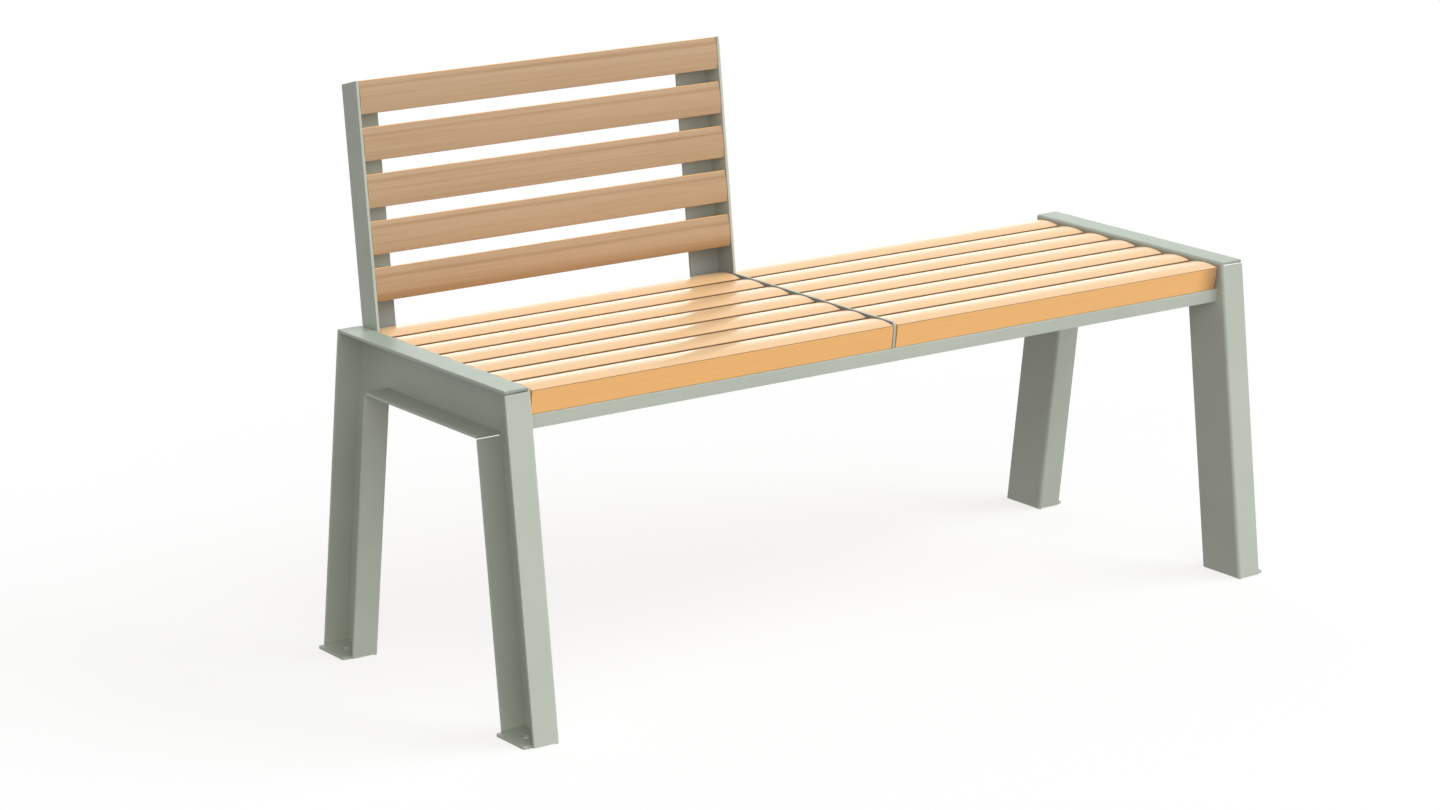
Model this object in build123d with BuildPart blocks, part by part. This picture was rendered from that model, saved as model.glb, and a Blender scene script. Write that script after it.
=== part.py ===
from build123d import *
import os
from math import cos, radians, sin, tan

# A bench of two folded steel end frames, steel rails and timber slats,
# with a slatted backrest over the left half of the seat.
# Millimetres. The origin is on the floor under the middle of the bench,
# X runs along the seat, the front faces -Y and Z is up.

# End frames of folded sheet
seat_height = 450.0  # top of an end frame above the floor
frame_span = 1160.0  # clear width between the two webs
frame_margin = 3.5  # end frame beyond the slats, at the front and at the rear
leg_lean = 7.2  # degrees that each leg leans outwards
leg_width = 75.5  # across a leg, square to its edges
beam_depth = 75.0  # height of the beam between the two legs
flange_width = 39.0  # from the inner face of the web to the edge of its flanges
sheet = 4.0  # thickness of the sheet
fold_radius = 0.5  # inside radius of the folds
top_slit = 1.2  # open slit under the top flange, at its front end
leg_slit = 0.8  # open slit under the beam flange
flange_corner = 3.0  # corner radius of the top flange, at its front end

# Feet of the end frames
foot_reach = 12.0  # foot tab beyond the edge of the flanges
foot_gap = 2.0  # between a foot tab and the flanges beside it
foot_corner = 3.0  # corner radius of a foot tab
flange_lift = 1.5  # leg flanges stop this far above the floor
anchor_hole = 12.0  # diameter of the floor anchor hole
anchor_setback = 24.0  # from the tip of the tab to the middle of the hole

# Slats
slat_rows = 7
slat_width = 52.0
slat_gap = 4.5
slat_height = 32.0  # from the underside to the top edges
slat_crown = 3.3  # rise of the top between its edges
slat_drop = 6.5  # top edges below the top of the end frames
slat_draft = 8.4  # degrees that the sides of every slat draw in towards its back
slat_edge = 1.2  # rounding along the two edges of the face
slat_back_edge = 1.5  # rounding along the two edges of the back
slat_end_edge = 0.8  # chamfer round the sawn ends
end_clearance = 0.5  # from a slat's end to the side plate beside it
divider_clearance = 1.5  # from a slat's end to the divider

# Rails, bearers and divider
rail_depth = 40.0
rail_height = 18.0
rail_wall = 4.0
rail_corner = 1.5
bearer_width = 40.0
divider_rise = 4.0  # top of the divider above the top edges of the slats
divider_corner = 7.5

# Backrest
back_lean = 7.0  # degrees that the backrest leans to the rear
upright_depth = 40.0
upright_flange = 50.5  # width of the rear flange of an upright
upright_fold = 0.5  # inside radius of the fold of an upright
upright_corner = 3.0  # rounding at the top of the front edge
back_clearance = 3.0  # from the rear slat of the seat to the flange behind it
back_rows = 5
back_slat_width = 44.5
back_slat_gap = 16.9
back_slat_crown = 2.0
back_slat_recess = 2.0  # edges of the back slats behind the front edge of the uprights
back_rise = 38.5  # from the seat slats' top edges to the lowest back slat

# Fasteners and welds
screw_shank = 5.0
screw_head = 10.0
screw_head_height = 3.0
screw_head_edge = 1.2
screw_bite = 22.0  # length of a screw in the timber
screw_tip = 1.5
screw_socket = 3.0  # hexagon socket across its flats
screw_socket_depth = 1.8
screw_spacing = 18.0  # between the two screws at a slat's end
screw_inset = 24.0  # from the side plate's outer face to the screws
steel_clearance = 0.3  # round a screw in the steel
timber_clearance = 0.05  # round a screw in the timber
pilot_spare = 1.0  # pilot hole past the tip of its screw
weld_leg = 2.5

# Places that follow from the sizes above
web_x = frame_span / 2
slat_pitch = slat_width + slat_gap
seat_depth = slat_rows * slat_width + (slat_rows - 1) * slat_gap
frame_depth = seat_depth + 2 * frame_margin
slat_top = seat_height - slat_drop
support_z = slat_top - slat_height
steel_under = support_z - rail_wall
rail_bottom = support_z - rail_height
rail_outer = seat_depth / 2 - slat_height * tan(radians(slat_draft))
rail_inner = rail_outer - rail_depth
fold_outside = fold_radius + sheet
half_plate = sheet / 2
slat_low_x = half_plate + divider_clearance
slat_high_x = web_x - sheet - end_clearance
slat_length = slat_high_x - slat_low_x
row_places = [(row - (slat_rows - 1) / 2) * slat_pitch for row in range(slat_rows)]

os.makedirs("parts", exist_ok=True)


def save(piece, name):
    """Label a finished piece and write it as its own file."""
    piece.part.label = name
    export_step(piece.part, f"parts/{name}.step")


# End frames: an inverted U of sheet with its flanges folded outwards
leg_run = leg_width / cos(radians(leg_lean))
wall_run = sheet / cos(radians(leg_lean))
beam_under = seat_height - beam_depth


def leg_outside(z):
    """Distance from the frame's middle to the outer edge of a leg at height z."""
    return frame_depth / 2 + (seat_height - z) * tan(radians(leg_lean))


def leg_inside(z):
    """Distance from the frame's middle to the inner edge of a leg at height z."""
    return leg_outside(z) - leg_run


rear_half = [
    (leg_inside(beam_under), beam_under),
    (leg_inside(0), 0),
    (leg_outside(0), 0),
    (leg_outside(seat_height), seat_height),
]
frame_outline = rear_half + [(-y, z) for y, z in reversed(rear_half)]

# Room between the leg flanges over a foot, and under their lower ends
foot_room = 2 * sheet
rear_foot_cut = [
    (leg_outside(0) + sheet, -sheet),
    (leg_outside(0) + sheet, flange_lift),
    (leg_outside(flange_lift) - wall_run, flange_lift),
    (leg_outside(foot_room) - wall_run, foot_room),
    (leg_inside(foot_room) + wall_run, foot_room),
    (leg_inside(flange_lift) + wall_run, flange_lift),
    (leg_inside(0) - sheet, flange_lift),
    (leg_inside(0) - sheet, -sheet),
]
front_foot_cut = [(-y, z) for y, z in reversed(rear_foot_cut)]

fold_end = web_x + fold_outside
tab_tip = web_x + flange_width + foot_reach
tab_length = tab_tip - fold_end
tab_y = (leg_outside(0) + leg_inside(0)) / 2
tab_width = leg_run - 2 * (wall_run + foot_gap)
anchor_x = tab_tip - anchor_setback

with BuildPart() as frame_hollow:
    with BuildSketch(Plane.YZ.offset(web_x + sheet)):
        Polygon(*frame_outline, align=None)
        offset(amount=-sheet, kind=Kind.INTERSECTION)
    extrude(amount=flange_width - sheet)
    fillet(frame_hollow.edges().group_by(Axis.X)[0], radius=fold_radius)

with BuildPart() as right_end_frame:
    with BuildSketch(Plane.YZ.offset(web_x)):
        Polygon(*frame_outline, align=None)
    extrude(amount=flange_width)
    fillet(right_end_frame.edges().group_by(Axis.X)[0], radius=fold_outside)
    add(frame_hollow.part, mode=Mode.SUBTRACT)
    # Slits part the flanges from each other, from the fold to the open edge, but for the closed rear corner
    with BuildSketch(Plane.YZ.offset(fold_end)):
        with Locations((half_plate - frame_depth / 2, seat_height - sheet - top_slit / 2)):
            Rectangle(3 * sheet, top_slit)
        for side in (-1, 1):
            with Locations((side * (leg_inside(beam_under) + half_plate), beam_under - leg_slit / 2)):
                Rectangle(3 * sheet, leg_slit)
        Polygon(*rear_foot_cut, align=None)
        Polygon(*front_foot_cut, align=None)
    extrude(amount=flange_width, mode=Mode.SUBTRACT)
    # Foot tabs
    with BuildSketch() as tabs:
        with Locations((fold_end + tab_length / 2, -tab_y), (fold_end + tab_length / 2, tab_y)):
            Rectangle(tab_length, tab_width)
        fillet(tabs.vertices().group_by(Axis.X)[-1], radius=foot_corner)
    extrude(amount=sheet)
    with Locations((anchor_x, -tab_y, sheet), (anchor_x, tab_y, sheet)):
        Hole(anchor_hole / 2, depth=sheet)
    flange_middle = seat_height - half_plate
    front_corner = (web_x + flange_width, -leg_outside(flange_middle), flange_middle)
    fillet(right_end_frame.edges().sort_by_distance(front_corner)[0], radius=flange_corner)
save(right_end_frame, "right_end_frame")

with BuildPart() as left_end_frame:
    mirror(right_end_frame.part, about=Plane.YZ)
save(left_end_frame, "left_end_frame")


# Backrest frame of reference: the front face of the rear flanges, which the back slats lie on.
# Up the backrest is back_up, and to the rear, square to it, is back_out.
lean = radians(back_lean)
back_up = Vector(0, sin(lean), cos(lean))
back_out = Vector(0, cos(lean), -sin(lean))
back_seat = Vector(0, seat_depth / 2 + back_clearance, slat_top)
plate_reach = upright_depth - sheet
back_pitch = back_slat_width + back_slat_gap
back_places = [back_rise + back_slat_width / 2 + row * back_pitch for row in range(back_rows)]
back_top = back_places[-1] + back_slat_width / 2 + back_slat_recess * tan(radians(slat_draft))


def upright_front(z):
    """Distance to the rear, at height z, of the front edge of the uprights."""
    return back_seat.Y - plate_reach / cos(lean) + (z - slat_top) * tan(lean)


def flange_rear(z):
    """Distance to the rear, at height z, of the rear face of the uprights' flanges."""
    return back_seat.Y + sheet / cos(lean) + (z - slat_top) * tan(lean)


rear_rail_back = flange_rear(support_z)


# Screw places: each plane lies on the steel's far face and points the way the screw's head does
def seat_screws(x, rows):
    """Planes of the two screws at x under each of the given rows of slats."""
    return [
        Plane(origin=(x, y + step, steel_under), z_dir=(0, 0, -1))
        for y in rows
        for step in (-screw_spacing / 2, screw_spacing / 2)
    ]


def back_screws(x, rows):
    """Planes of the two screws at x behind each of the given rows of back slats."""
    return [
        Plane(origin=back_seat + Vector(x, 0, 0) + back_up * (up + step) + back_out * sheet, z_dir=back_out)
        for up in rows
        for step in (-screw_spacing / 2, screw_spacing / 2)
    ]


end_screw_x = web_x - screw_inset
centre_screw_x = screw_inset
screw_columns = {
    "left_end": -end_screw_x,
    "centre_left": -centre_screw_x,
    "centre_right": centre_screw_x,
    "right_end": end_screw_x,
}
back_columns = {
    "left": -end_screw_x,
    "right": half_plate - screw_inset,
}
steel_hole = screw_shank / 2 + steel_clearance
timber_hole = screw_shank / 2 + timber_clearance


# Rails: channels open below, from web to web
def make_rail(name, front_y, rear_y, row_y):
    """One rail between two depths, drilled for the row of slats that it carries."""
    depth = rear_y - front_y
    middle = (front_y + rear_y) / 2
    with BuildPart() as rail:
        with BuildSketch(Plane.YZ.offset(-web_x)) as section:
            with Locations((middle, support_z - rail_height / 2)):
                Rectangle(depth, rail_height)
            fillet(section.vertices().group_by(Axis.Y)[-1], radius=rail_corner)
            with Locations((middle, steel_under - (rail_height - rail_wall) / 2)):
                Rectangle(depth - 2 * rail_wall, rail_height - rail_wall, mode=Mode.SUBTRACT)
        extrude(amount=frame_span)
        for x in screw_columns.values():
            with Locations(*seat_screws(x, [row_y])):
                Hole(steel_hole, depth=rail_wall)
    save(rail, name)


make_rail("front_rail", -rail_outer, -rail_inner, row_places[0])
make_rail("rear_rail", rail_inner, rear_rail_back, row_places[-1])


# Bearers: angles from rail to rail under the ends of the slats between them
def make_bearer(name, face_x, side, screw_x):
    """One angle with its upright leg against face_x and its flat leg to the given side."""
    with BuildPart() as bearer:
        with BuildSketch(Plane.XZ) as section:
            with Locations((face_x + side * bearer_width / 2, support_z - rail_wall / 2)):
                Rectangle(bearer_width, rail_wall)
            with Locations((face_x + side * rail_wall / 2, support_z - rail_height / 2)):
                Rectangle(rail_wall, rail_height)
            fillet(section.vertices().sort_by_distance((face_x, support_z))[0], radius=rail_corner)
        extrude(amount=rail_inner, both=True)
        with Locations(*seat_screws(screw_x, row_places[1:-1])):
            Hole(steel_hole, depth=rail_wall)
    save(bearer, name)


bearer_faces = {
    "left_end": (-web_x, 1),
    "centre_left": (-half_plate, -1),
    "centre_right": (half_plate, 1),
    "right_end": (web_x, -1),
}
for place, (face_x, side) in bearer_faces.items():
    make_bearer(f"{place}_bearer", face_x, side, screw_columns[place])


# Divider: a plate between the two halves of the seat, notched over the front rail
divider_top = slat_top + divider_rise
divider_front = rail_outer + (divider_top - support_z) * tan(radians(slat_draft))
divider_outline = [
    (-rail_inner, rail_bottom),
    (-rail_inner, support_z),
    (-rail_outer, support_z),
    (-divider_front, divider_top),
    (upright_front(divider_top), divider_top),
    (upright_front(support_z), support_z),
    (rail_inner, support_z),
    (rail_inner, rail_bottom),
]
with BuildPart() as centre_divider:
    with BuildSketch(Plane.YZ.offset(-half_plate)) as outline:
        Polygon(*divider_outline, align=None)
        fillet(outline.vertices().sort_by_distance((-divider_front, divider_top))[0], radius=divider_corner)
    extrude(amount=sheet)
save(centre_divider, "centre_divider")


# Uprights: a side plate with a flange folded inwards behind the back slats
top_slope = lean + radians(slat_draft)
top_front_z = (back_seat + back_up * back_top - back_out * plate_reach).Z
top_corner = Vector(0, upright_front(top_front_z), top_front_z)
top_plane = Plane(origin=top_corner, z_dir=(0, sin(top_slope), cos(top_slope)))
foot_run = slat_height / cos(lean) + upright_depth


def make_upright(name, outer_x, side, screw_x):
    """One upright with its side plate's outer face at outer_x and its flange to the given side."""
    section_plane = Plane(origin=back_seat + Vector(outer_x, 0, 0), x_dir=(1, 0, 0), z_dir=back_up)
    with BuildPart() as upright:
        with BuildSketch(section_plane.offset(-foot_run)) as section:
            Polygon(
                (0, -plate_reach),
                (0, sheet),
                (side * upright_flange, sheet),
                (side * upright_flange, 0),
                (side * sheet, 0),
                (side * sheet, -plate_reach),
                align=None,
            )
            fillet(section.vertices().sort_by_distance((0, sheet))[0], radius=upright_fold + sheet)
            fillet(section.vertices().sort_by_distance((side * sheet, 0))[0], radius=upright_fold)
        extrude(amount=foot_run + back_top + upright_depth)
        split(bisect_by=Plane.XY.offset(support_z), keep=Keep.TOP)
        split(bisect_by=top_plane, keep=Keep.BOTTOM)
        plate_middle = top_corner + Vector(outer_x + side * half_plate, 0, 0)
        fillet(upright.edges().sort_by_distance(plate_middle)[0], radius=upright_corner)
        with Locations(*back_screws(screw_x, back_places)):
            Hole(steel_hole, depth=sheet)
    save(upright, name)


uprights = {
    "left": (-web_x, 1, back_columns["left"]),
    "right": (half_plate, -1, back_columns["right"]),
}
for place, (outer_x, side, screw_x) in uprights.items():
    make_upright(f"{place}_back_upright", outer_x, side, screw_x)


# Slats: crowned boards that narrow towards their backs
def slat_section(width, height, crown):
    """Section of a slat, its back on the X axis and its crowned face upwards."""
    half_face = width / 2
    half_back = half_face - height * tan(radians(slat_draft))
    with BuildSketch() as section:
        with BuildLine():
            Line((half_back, 0), (half_face, height))
            ThreePointArc((half_face, height), (0, height + crown), (-half_face, height))
            Polyline((-half_face, height), (-half_back, 0), (half_back, 0))
        make_face()
        fillet(section.vertices().group_by(Axis.Y)[-1], radius=slat_edge)
        fillet(section.vertices().group_by(Axis.Y)[0], radius=slat_back_edge)
    return section.sketch


def make_slat(name, section, plane, length, screws, grip):
    """One slat along the plane's normal, with pilot holes for screws through steel of thickness grip."""
    with BuildPart() as slat:
        with BuildSketch(plane):
            add(section)
        extrude(amount=length)
        chamfer(slat.edges().group_by(Axis.X)[0], length=slat_end_edge)
        chamfer(slat.edges().group_by(Axis.X)[-1], length=slat_end_edge)
        with Locations(*screws):
            Hole(timber_hole, depth=grip + screw_bite + pilot_spare)
    save(slat, name)


seat_section = slat_section(slat_width, slat_height, slat_crown)
seat_halves = {
    "left": (-slat_high_x, ("left_end", "centre_left")),
    "right": (slat_low_x, ("centre_right", "right_end")),
}
for half, (start_x, columns) in seat_halves.items():
    for row, y in enumerate(row_places):
        plane = Plane(origin=(start_x, y, support_z), x_dir=(0, 1, 0), z_dir=(1, 0, 0))
        screws = [place for column in columns for place in seat_screws(screw_columns[column], [y])]
        make_slat(f"seat_slat_{half}_{row + 1}", seat_section, plane, slat_length, screws, rail_wall)

back_section = slat_section(back_slat_width, plate_reach - back_slat_recess, back_slat_crown)
back_start_x = -web_x + sheet + upright_fold
back_length = -half_plate - upright_fold - back_start_x
for row, up in enumerate(back_places):
    origin = back_seat + Vector(back_start_x, 0, 0) + back_up * up
    plane = Plane(origin=origin, x_dir=back_up, z_dir=(1, 0, 0))
    screws = [place for x in back_columns.values() for place in back_screws(x, [up])]
    make_slat(f"back_slat_{row + 1}", back_section, plane, back_length, screws, sheet)


# Screws: round heads with a hexagon socket, in groups
def make_screw(grip):
    """One screw for steel of thickness grip, its head above the XY plane and its shank below."""
    length = grip + screw_bite
    with BuildPart() as screw:
        Cylinder(screw_shank / 2, length, align=(Align.CENTER, Align.CENTER, Align.MAX))
        chamfer(screw.edges().group_by(Axis.Z)[0], length=screw_tip)
        Cylinder(screw_head / 2, screw_head_height, align=(Align.CENTER, Align.CENTER, Align.MIN))
        fillet(screw.edges().group_by(Axis.Z)[-1], radius=screw_head_edge)
        with BuildSketch(Plane.XY.offset(screw_head_height)):
            RegularPolygon(screw_socket / 2, 6, major_radius=False)
        extrude(amount=-screw_socket_depth, mode=Mode.SUBTRACT)
    return screw.part


def make_screw_group(name, screw, places):
    """A group of like screws, one at each plane."""
    with BuildPart() as group:
        with Locations(*places):
            add(screw)
    save(group, name)


seat_screw = make_screw(rail_wall)
for place, x in screw_columns.items():
    make_screw_group(f"seat_screws_{place}", seat_screw, seat_screws(x, row_places))
back_screw = make_screw(sheet)
for place, x in back_columns.items():
    make_screw_group(f"back_screws_{place}", back_screw, back_screws(x, back_places))


# Welds: three-cornered beads in the corners between the steel pieces
def make_bead(plane, across, up, length):
    """One bead along the plane's normal, in the corner at its origin, towards the given sides."""
    with BuildPart() as bead:
        with BuildSketch(plane):
            Polygon((0, 0), (across * weld_leg, 0), (0, up * weld_leg), align=None)
        extrude(amount=length)
    return bead.part


def make_bead_group(name, beads):
    """A group of beads."""
    with BuildPart() as group:
        add(beads)
    save(group, name)


def forward_plane(x, y, z):
    """Plane across the bench at a point, looked at from the front."""
    return Plane(origin=(x, y, z), x_dir=(1, 0, 0), z_dir=(0, -1, 0))


def lengthwise_plane(x, y, z):
    """Plane along the bench at a point, with the rear to its right."""
    return Plane(origin=(x, y, z), x_dir=(0, 1, 0), z_dir=(1, 0, 0))


rail_spans = (
    (-rail_outer + rail_wall, -rail_inner - rail_wall),
    (rail_inner + rail_wall, rear_rail_back - rail_wall),
)
rail_beads = [
    make_bead(forward_plane(side * web_x, rear_y, steel_under), -side, -1, rear_y - front_y)
    for side in (-1, 1)
    for front_y, rear_y in rail_spans
]
make_bead_group("rail_welds", rail_beads)

bearer_starts = [
    min(face_x + side * rail_wall, face_x + side * bearer_width) for face_x, side in bearer_faces.values()
]
bearer_beads = [
    make_bead(lengthwise_plane(x, end * rail_inner, steel_under), -end, -1, bearer_width - rail_wall)
    for x in bearer_starts
    for end in (-1, 1)
]
make_bead_group("bearer_welds", bearer_beads)

flange_run = sheet / cos(lean)
upright_beads = [
    make_bead(forward_plane(outer_x + side * upright_flange, rear_rail_back, support_z), side, 1, flange_run)
    for outer_x, side, screw_x in uprights.values()
]
make_bead_group("upright_welds", upright_beads)
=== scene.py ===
"""The looks of a bench of folded steel and timber slats, laid out as a Blender add-on."""

from math import asin, cos, pi, radians, sin, tan

import bmesh
import bpy
from bpy.props import FloatProperty, FloatVectorProperty, PointerProperty
from mathutils import Matrix, Vector


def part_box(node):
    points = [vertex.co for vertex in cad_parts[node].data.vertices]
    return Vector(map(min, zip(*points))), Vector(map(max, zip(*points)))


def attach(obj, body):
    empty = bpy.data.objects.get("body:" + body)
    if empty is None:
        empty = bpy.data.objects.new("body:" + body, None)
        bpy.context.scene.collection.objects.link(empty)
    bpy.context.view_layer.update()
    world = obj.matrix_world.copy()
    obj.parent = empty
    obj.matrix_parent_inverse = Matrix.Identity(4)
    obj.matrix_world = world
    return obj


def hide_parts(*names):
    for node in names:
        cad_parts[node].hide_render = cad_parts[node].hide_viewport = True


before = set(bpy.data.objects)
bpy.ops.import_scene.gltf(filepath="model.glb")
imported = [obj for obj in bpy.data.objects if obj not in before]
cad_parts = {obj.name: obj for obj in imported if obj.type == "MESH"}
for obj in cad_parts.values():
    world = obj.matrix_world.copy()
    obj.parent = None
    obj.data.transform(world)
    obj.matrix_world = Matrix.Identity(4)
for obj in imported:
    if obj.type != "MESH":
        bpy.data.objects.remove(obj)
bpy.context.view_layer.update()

bl_info = {
    "name": "Slatted Bench",
    "version": (1, 0, 0),
    "blender": (4, 5, 0),
    "location": "View3D > Sidebar > Bench",
    "description": "Dresses a bench of folded steel and timber slats for rendering",
    "category": "Object",
}

MILLIMETRE = 0.001
MERGE_DISTANCE = 0.01 * MILLIMETRE
SHARP_ANGLE = radians(40)

# Directions of the bench
ALONG = Vector((1, 0, 0))
REARWARDS = Vector((0, 1, 0))
UPWARDS = Vector((0, 0, 1))


def middle(node):
    """Middle of a CAD node's box."""
    low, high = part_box(node)
    return (low + high) / 2


def reach(node, direction):
    """Lowest and highest place of a CAD node along a direction."""
    places = [vertex.co.dot(direction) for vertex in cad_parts[node].data.vertices]
    return min(places), max(places)


# Rows of slats, and the directions of the leaning back
SEAT_ROWS = 7
BACK_ROWS = 5
SEAT_HALVES = ("left", "right")
BACK_UP = (middle(f"back_slat_{BACK_ROWS}") - middle("back_slat_1")).normalized()
BACK_FRONT = ALONG.cross(BACK_UP)


def screen_colour(red, green, blue):
    """A colour given as it looks on a screen, from 0 to 255, as the shader's own numbers."""
    shares = [level / 255 for level in (red, green, blue)]
    return tuple(s / 12.92 if s <= 0.04045 else ((s + 0.055) / 1.055) ** 2.4 for s in shares)


def colour_property(name, description, *levels):
    """A colour that a user can change."""
    return FloatVectorProperty(
        name=name, description=description, subtype="COLOR", min=0, max=1, default=screen_colour(*levels)
    )


def size_property(name, description, millimetres):
    """A length that a user can change."""
    return FloatProperty(
        name=name, description=description, subtype="DISTANCE", unit="LENGTH", min=0, precision=4,
        default=millimetres * MILLIMETRE,
    )


def angle_property(name, description, degrees):
    """An angle that a user can change."""
    return FloatProperty(name=name, description=description, subtype="ANGLE", default=radians(degrees))


def strength_property(name, description, strength):
    """A strength that a user can change."""
    return FloatProperty(name=name, description=description, min=0, default=strength)


class BenchTimber(bpy.types.PropertyGroup):
    """Sizes and colours of the slats."""

    seat_width: size_property("Seat slat width", "Across the two edges of a seat slat's face", 52)
    seat_crown: size_property("Seat slat crown", "Rise of a seat slat's face between its edges", 3.3)
    back_width: size_property("Back slat width", "Across the two edges of a back slat's face", 44.5)
    back_crown: size_property("Back slat crown", "Rise of a back slat's face between its edges", 2)
    draft: angle_property("Draft", "How far the sides draw in towards the back", 8.4)
    face_edge: size_property("Face edge", "Rounding along the edges of the face", 1.2)
    rear_edge: size_property("Rear edge", "Rounding along the edges of the back", 1.5)
    end_edge: size_property("End edge", "Rounding round the sawn ends", 0.8)
    honey: colour_property("Honey", "Oiled timber", 251, 192, 119)
    # Painted sheen: the paler tone on top of the seat slats stands in for the light on them
    honey_painted_sheen: colour_property("Honey on top", "Paler tone on top of the seat slats", 242, 201, 150)
    honey_dark: colour_property("Honey grain", "Darker grain of the oiled timber", 218, 154, 84)
    # Painted shade: the darker tone in the gaps, along the arrises and at the seat's right end
    honey_painted_shade: colour_property("Gap", "Darker tone in the gaps between the seat slats", 112, 74, 42)
    tan: colour_property("Tan", "Face of the back slats", 184, 156, 124)
    tan_dark: colour_property("Tan grain", "Darker grain in the face of the back slats", 156, 120, 82)


class BenchSteel(bpy.types.PropertyGroup):
    """Sizes and colours of the steel."""

    sheet: size_property("Sheet", "Thickness of the folded sheet and of the rails' walls", 4)
    arris: size_property("Arris", "Softening along the cut edges", 0.5)
    leg_width: size_property("Leg width", "Across a leg, square to its edges", 75.5)
    leg_lean: angle_property("Leg lean", "How far each leg leans outwards", 7.2)
    beam_depth: size_property("Beam depth", "Height of the beam between two legs", 75)
    flange: size_property("Flange", "Width of the end frames' flanges", 39)
    frame_fold: size_property("Frame fold", "Outside radius of the end frames' folds", 4.5)
    top_slit: size_property("Top slit", "Gap under the front end of the top flange", 1.2)
    beam_slit: size_property("Beam slit", "Gap under the ends of the beam's lower flange", 0.8)
    flange_corner: size_property("Flange corner", "Corner radius of the top flange's front end", 3)
    foot_lift: size_property("Foot lift", "Gap under the legs' flanges", 1.5)
    foot_gap: size_property("Foot gap", "Gap on both sides of a foot tab", 2)
    foot_corner: size_property("Foot corner", "Corner radius of a foot tab", 3)
    anchor_hole: size_property("Anchor hole", "Diameter of the hole in a foot tab", 12)
    anchor_setback: size_property("Anchor setback", "From a foot tab's tip to the middle of its hole", 24)
    upright_fold: size_property("Upright fold", "Outside radius of the uprights' folds", 4.5)
    upright_corner: size_property("Upright corner", "Rounding at the top of an upright's front edge", 3)
    rail_corner: size_property("Rail corner", "Rounding along the rails and bearers", 1.5)
    divider_corner: size_property("Divider corner", "Rounding of the divider's front corner", 7.5)
    screw_head: size_property("Screw head", "Diameter of a screw's head", 10)
    screw_rise: size_property("Screw rise", "Height of a screw's head", 3)
    screw_edge: size_property("Screw edge", "Rounding of a screw's head", 1.2)
    screw_socket: size_property("Screw socket", "Across the flats of a screw's socket", 3)
    socket_depth: size_property("Socket depth", "Depth of a screw's socket", 1.8)
    screw_spacing: size_property("Screw spacing", "Between the two screws at a slat's end", 18)
    coat: colour_property("Coat", "Powder coat on the folded steel", 183, 190, 178)
    coat_shade: colour_property("Coat shade", "Darker clouds in the powder coat", 179, 186, 174)
    # Painted shade on top of the end frames
    coat_painted_shade_top: colour_property("Coat on top", "Darker tone on top of the end frames", 166, 178, 164)
    # Painted shade low inside the uprights
    coat_painted_shade_foot: colour_property("Coat at the foot", "Darker tone low inside the uprights", 142, 150, 147)
    bare: colour_property("Screws", "Bare stainless steel", 196, 194, 190)


class BenchStage(bpy.types.PropertyGroup):
    """Light and floor around the bench."""

    front: strength_property("Front light", "Strength of the low light from the front", 0.6)
    high: strength_property("High light", "Strength of the high light from the front", 0.66)
    right: strength_property("Right light", "Strength of the light from the right", 2.37)
    left: strength_property("Left light", "Strength of the light from the left", 0.8)
    behind: strength_property("Light from behind", "Strength of the light on the rear", 0.5)
    rear: strength_property("Rear glint", "Strength of the low light behind, seen in the gloss", 0.84)
    sheen: strength_property("Rear sheen", "Strength of the broad light behind, seen in the gloss", 1.56)
    sky: strength_property("Sky light", "Strength of the light from all round", 0.24)
    bounce: strength_property("Floor bounce", "Strength of the light from the floor", 0.22)
    shade: strength_property("Floor shade", "How deep shadows on the floor are", 0.25)


# Materials, with the numbers of a Mix node's colour sockets, whose names other sockets share
MIX_SHARE = 0
MIX_FIRST = 6
MIX_SECOND = 7
MIX_RESULT = 2


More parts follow.
